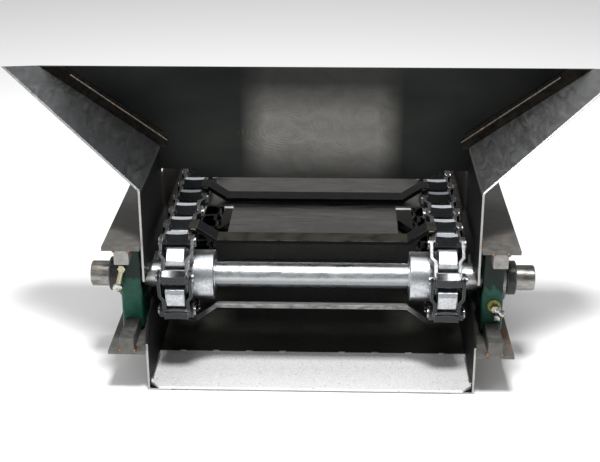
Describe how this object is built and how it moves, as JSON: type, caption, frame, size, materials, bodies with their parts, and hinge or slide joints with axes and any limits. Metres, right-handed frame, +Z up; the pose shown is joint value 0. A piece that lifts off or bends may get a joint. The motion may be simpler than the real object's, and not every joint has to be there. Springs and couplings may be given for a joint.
{
  "type": "hopper-fed drag chain conveyor",
  "caption": "Tail and drive ends of a drag conveyor: two pin chains with cranked flat flights run under an open-fronted feed hopper, tail shaft on sliding bearings.",
  "frame": {"origin": "middle of the footprint, on the surface the folded feet stand on", "axes": "+X across the trough towards the drive shaft's input end, +Y from the tail shaft to the drive shaft, +Z up"},
  "size_m": [0.896, 0.741, 0.4576],
  "materials": {
    "back_plate": "dark rolled sheet with sanding swirls",
    "bearing_steel": "ground bearing steel, greasy",
    "chain_link": "black oiled casting",
    "chain_pin": "hardened, oiled",
    "collar": "black oxide",
    "deck_plate": "worn bright by the flights",
    "drive_shaft": "ground bar",
    "fastener": "zinc plated",
    "flight": "black hot-rolled flat bar, edges polished",
    "floor_pan": "dark, oily",
    "grease_fitting": "plated, with yellow paint on the rim",
    "guide_plate": "bare mill scale, rust at the welds",
    "housing_paint": "green gloss paint on a casting",
    "lip_plate": "galvanised, speckled",
    "rail": "bare cold-drawn bar",
    "side_sheet": "rolled sheet, brushed and scratched",
    "sprocket_zinc": "zinc plated casting",
    "tail_shaft": "zinc plated bar, bare at the ends"
  },
  "bodies": {
    "trough": {"side_sheet_left": "side_sheet", "side_sheet_right": "side_sheet", "back_plate": "back_plate", "deck_plate": "deck_plate", "floor_pan": "floor_pan", "lip_plate": "lip_plate", "wing_plate_left": "guide_plate", "wing_plate_right": "guide_plate", "lower_plate_left": "guide_plate", "lower_plate_right": "guide_plate", "upper_rail_left": "rail", "upper_rail_right": "rail", "lower_rail_left": "rail", "lower_rail_right": "rail", "screw_lug_left": "rail", "screw_lug_right": "rail", "lug_nuts": "fastener", "drive_bearing_left": "housing_paint", "drive_bearing_right": "housing_paint", "drive_insert_left": "bearing_steel", "drive_insert_right": "bearing_steel", "drive_bolts": "fastener"},
    "take_up": {"takeup_housing_left": "housing_paint", "takeup_housing_right": "housing_paint", "takeup_insert_left": "bearing_steel", "takeup_insert_right": "bearing_steel", "grease_fitting_left": "grease_fitting", "grease_fitting_right": "grease_fitting"},
    "screw_left": {"takeup_screw_left": "fastener"},
    "screw_right": {"takeup_screw_right": "fastener"},
    "tail_shaft_set": {"tail_shaft": "tail_shaft", "tail_sprocket_left": "sprocket_zinc", "tail_sprocket_right": "sprocket_zinc", "tail_collars": "collar", "tail_spacers": "tail_shaft", "tail_links_left": "chain_link", "tail_links_right": "chain_link", "tail_pins": "chain_pin", "tail_flight": "flight"},
    "upper_run": {"upper_links_left": "chain_link", "upper_links_right": "chain_link", "upper_pins": "chain_pin", "upper_flight_1": "flight", "upper_flight_2": "flight", "upper_flight_3": "flight"},
    "lower_run": {"lower_links_left": "chain_link", "lower_links_right": "chain_link", "lower_pins": "chain_pin", "lower_flight_1": "flight", "lower_flight_2": "flight", "lower_flight_3": "flight"},
    "drive_shaft_set": {"drive_shaft": "drive_shaft", "drive_sprocket_left": "sprocket_zinc", "drive_sprocket_right": "sprocket_zinc", "drive_collars": "collar", "drive_keys": "drive_shaft", "drive_links_left": "chain_link", "drive_links_right": "chain_link", "drive_pins": "chain_pin", "drive_flight": "flight"}
  },
  "joints": [
    {"name": "drive_turn", "type": "hinge", "parent": "trough", "child": "drive_shaft_set", "pos_m": [0, 0.25925, 0.148], "axis": [1, 0, 0], "range_deg": [-30, 6.6]},
    {"name": "take_up_slide", "type": "slide", "parent": "trough", "child": "take_up", "axis": [0, -1, 0], "range_m": [0, 0.001]},
    {"name": "tail_turn", "type": "hinge", "parent": "take_up", "child": "tail_shaft_set", "pos_m": [0, -0.2695, 0.148], "axis": [1, 0, 0], "range_deg": [-30, 6.6]},
    {"name": "upper_run_slide", "type": "slide", "parent": "trough", "child": "upper_run", "axis": [0, 1, 0], "range_m": [-0.0068, 0.0305]},
    {"name": "lower_run_slide", "type": "slide", "parent": "trough", "child": "lower_run", "axis": [0, 1, 0], "range_m": [-0.0305, 0.0068]},
    {"name": "screw_turn_left", "type": "hinge", "parent": "take_up", "child": "screw_left", "pos_m": [-0.2664, -0.1195, 0.148], "axis": [0, -1, 0], "range_deg": [0, 181]},
    {"name": "screw_turn_right", "type": "hinge", "parent": "take_up", "child": "screw_right", "pos_m": [0.2664, -0.1195, 0.148], "axis": [0, -1, 0], "range_deg": [0, 181]}
  ],
  "couplings": [
    {"joint": "tail_turn", "follows": "drive_turn", "ratio": 1},
    {"joint": "upper_run_slide", "follows": "drive_turn", "m_per_rad": -0.058},
    {"joint": "lower_run_slide", "follows": "drive_turn", "m_per_rad": 0.058},
    {"joint": "screw_turn_left", "follows": "take_up_slide", "rad_per_m": 3141.6},
    {"joint": "screw_turn_right", "follows": "take_up_slide", "rad_per_m": 3141.6}
  ]
}
